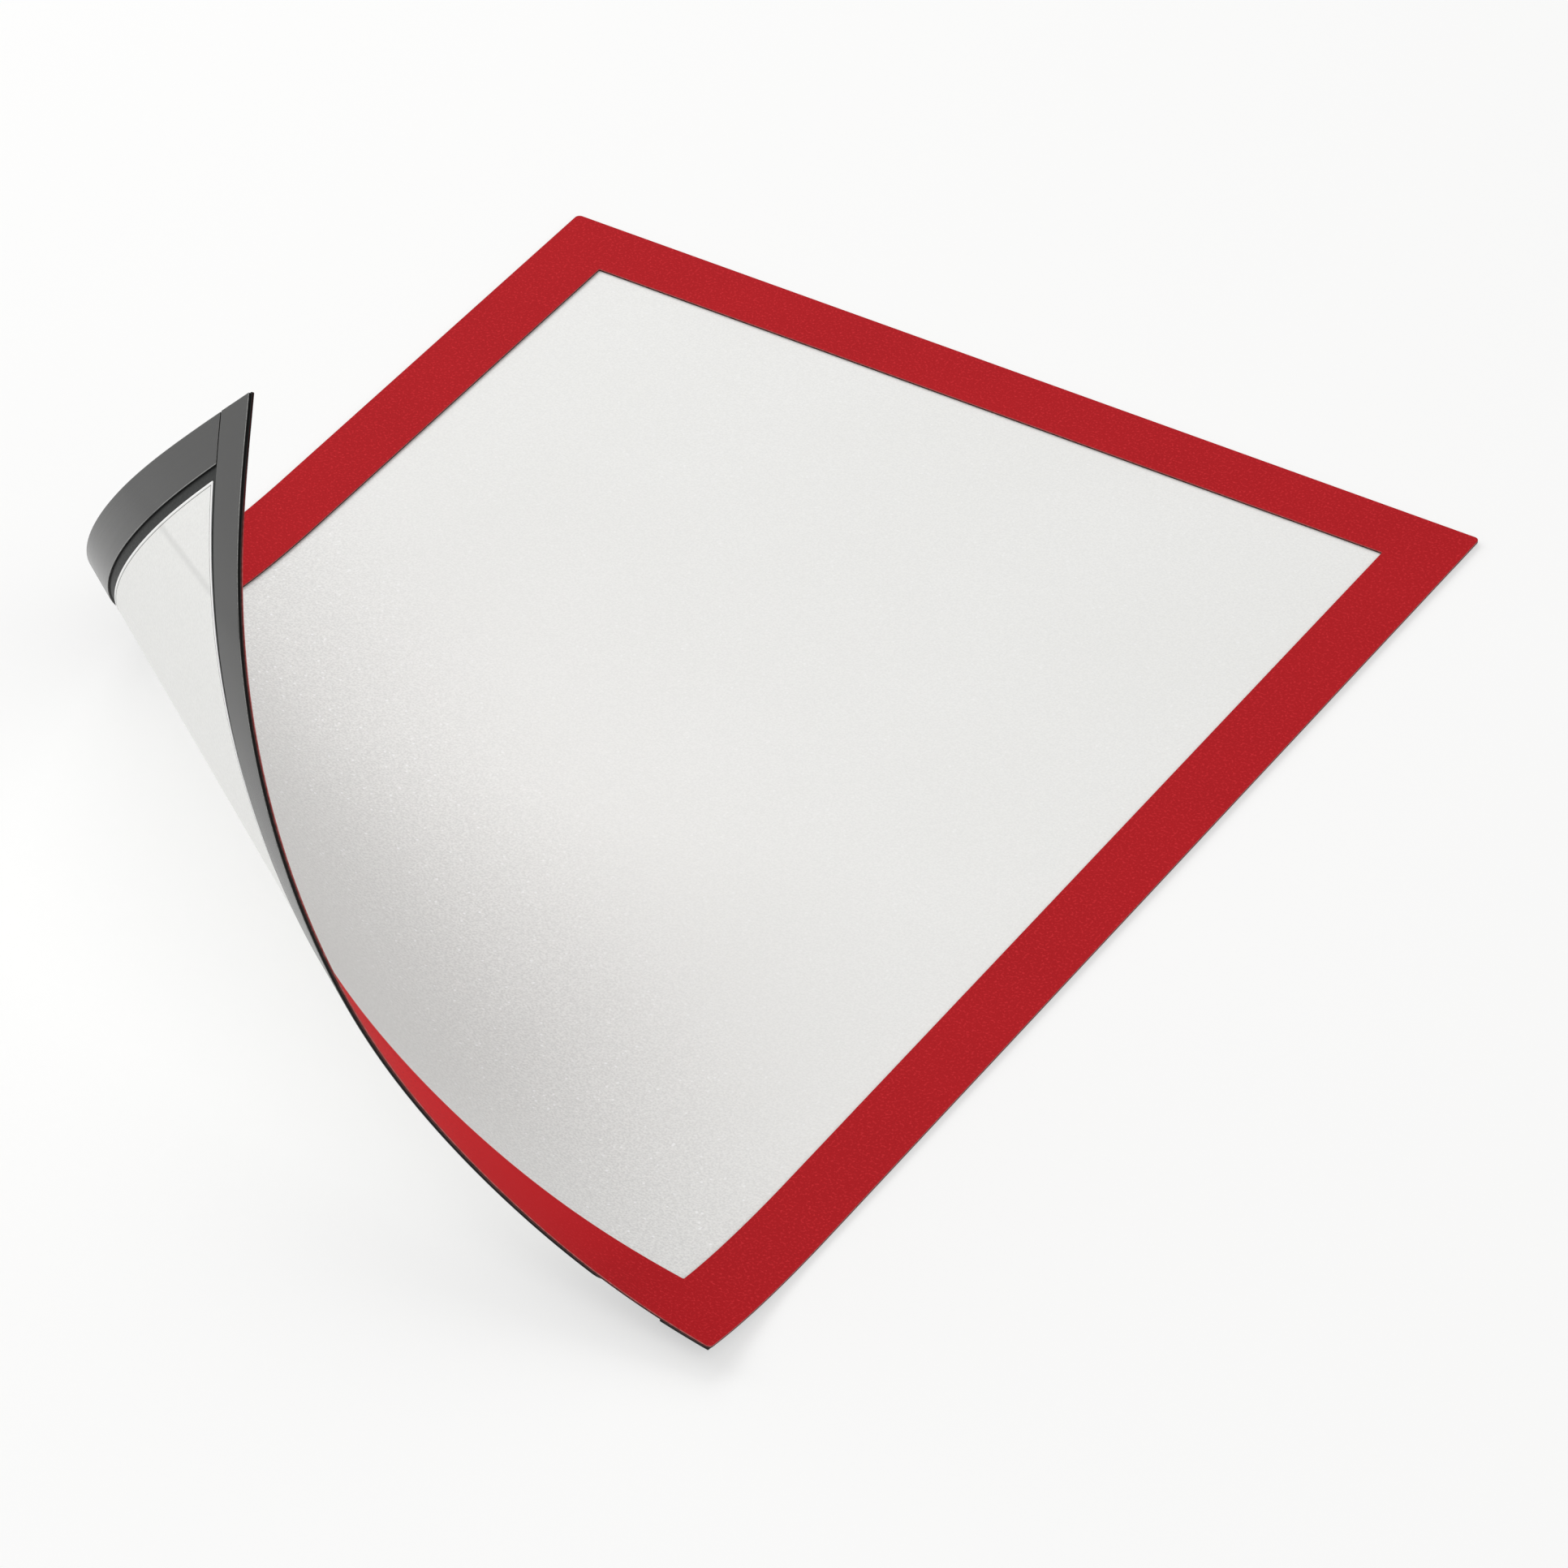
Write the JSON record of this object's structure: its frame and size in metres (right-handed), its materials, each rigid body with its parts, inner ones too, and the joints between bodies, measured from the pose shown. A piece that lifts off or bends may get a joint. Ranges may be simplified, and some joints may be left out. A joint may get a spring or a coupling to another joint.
{
  "type": "magnetic display frame",
  "caption": "Flexible magnetic frame for a paper sheet: red film border, clear window and magnet strips behind, lying with one corner curled up.",
  "frame": {"origin": "under the middle of the object's box, on the surface it lies on", "axes": "+Z out of the front face of the flat part, +Y towards the top edge of the frame, +X towards its right edge"},
  "size_m": [0.2362, 0.3228, 0.1168],
  "materials": {
    "red_film": "fine matte grain",
    "dark_film": "matt",
    "matte_window": "anti-glare matte film",
    "magnet_rubber": "dry matt"
  },
  "bodies": {
    "root": {"face_film": "red_film", "backing_film": "dark_film", "window_film": "matte_window", "magnet_strip_top": "magnet_rubber", "magnet_strip_right": "magnet_rubber", "magnet_strip_bottom": "magnet_rubber", "magnet_strip_left": "magnet_rubber"}
  },
  "joints": []
}
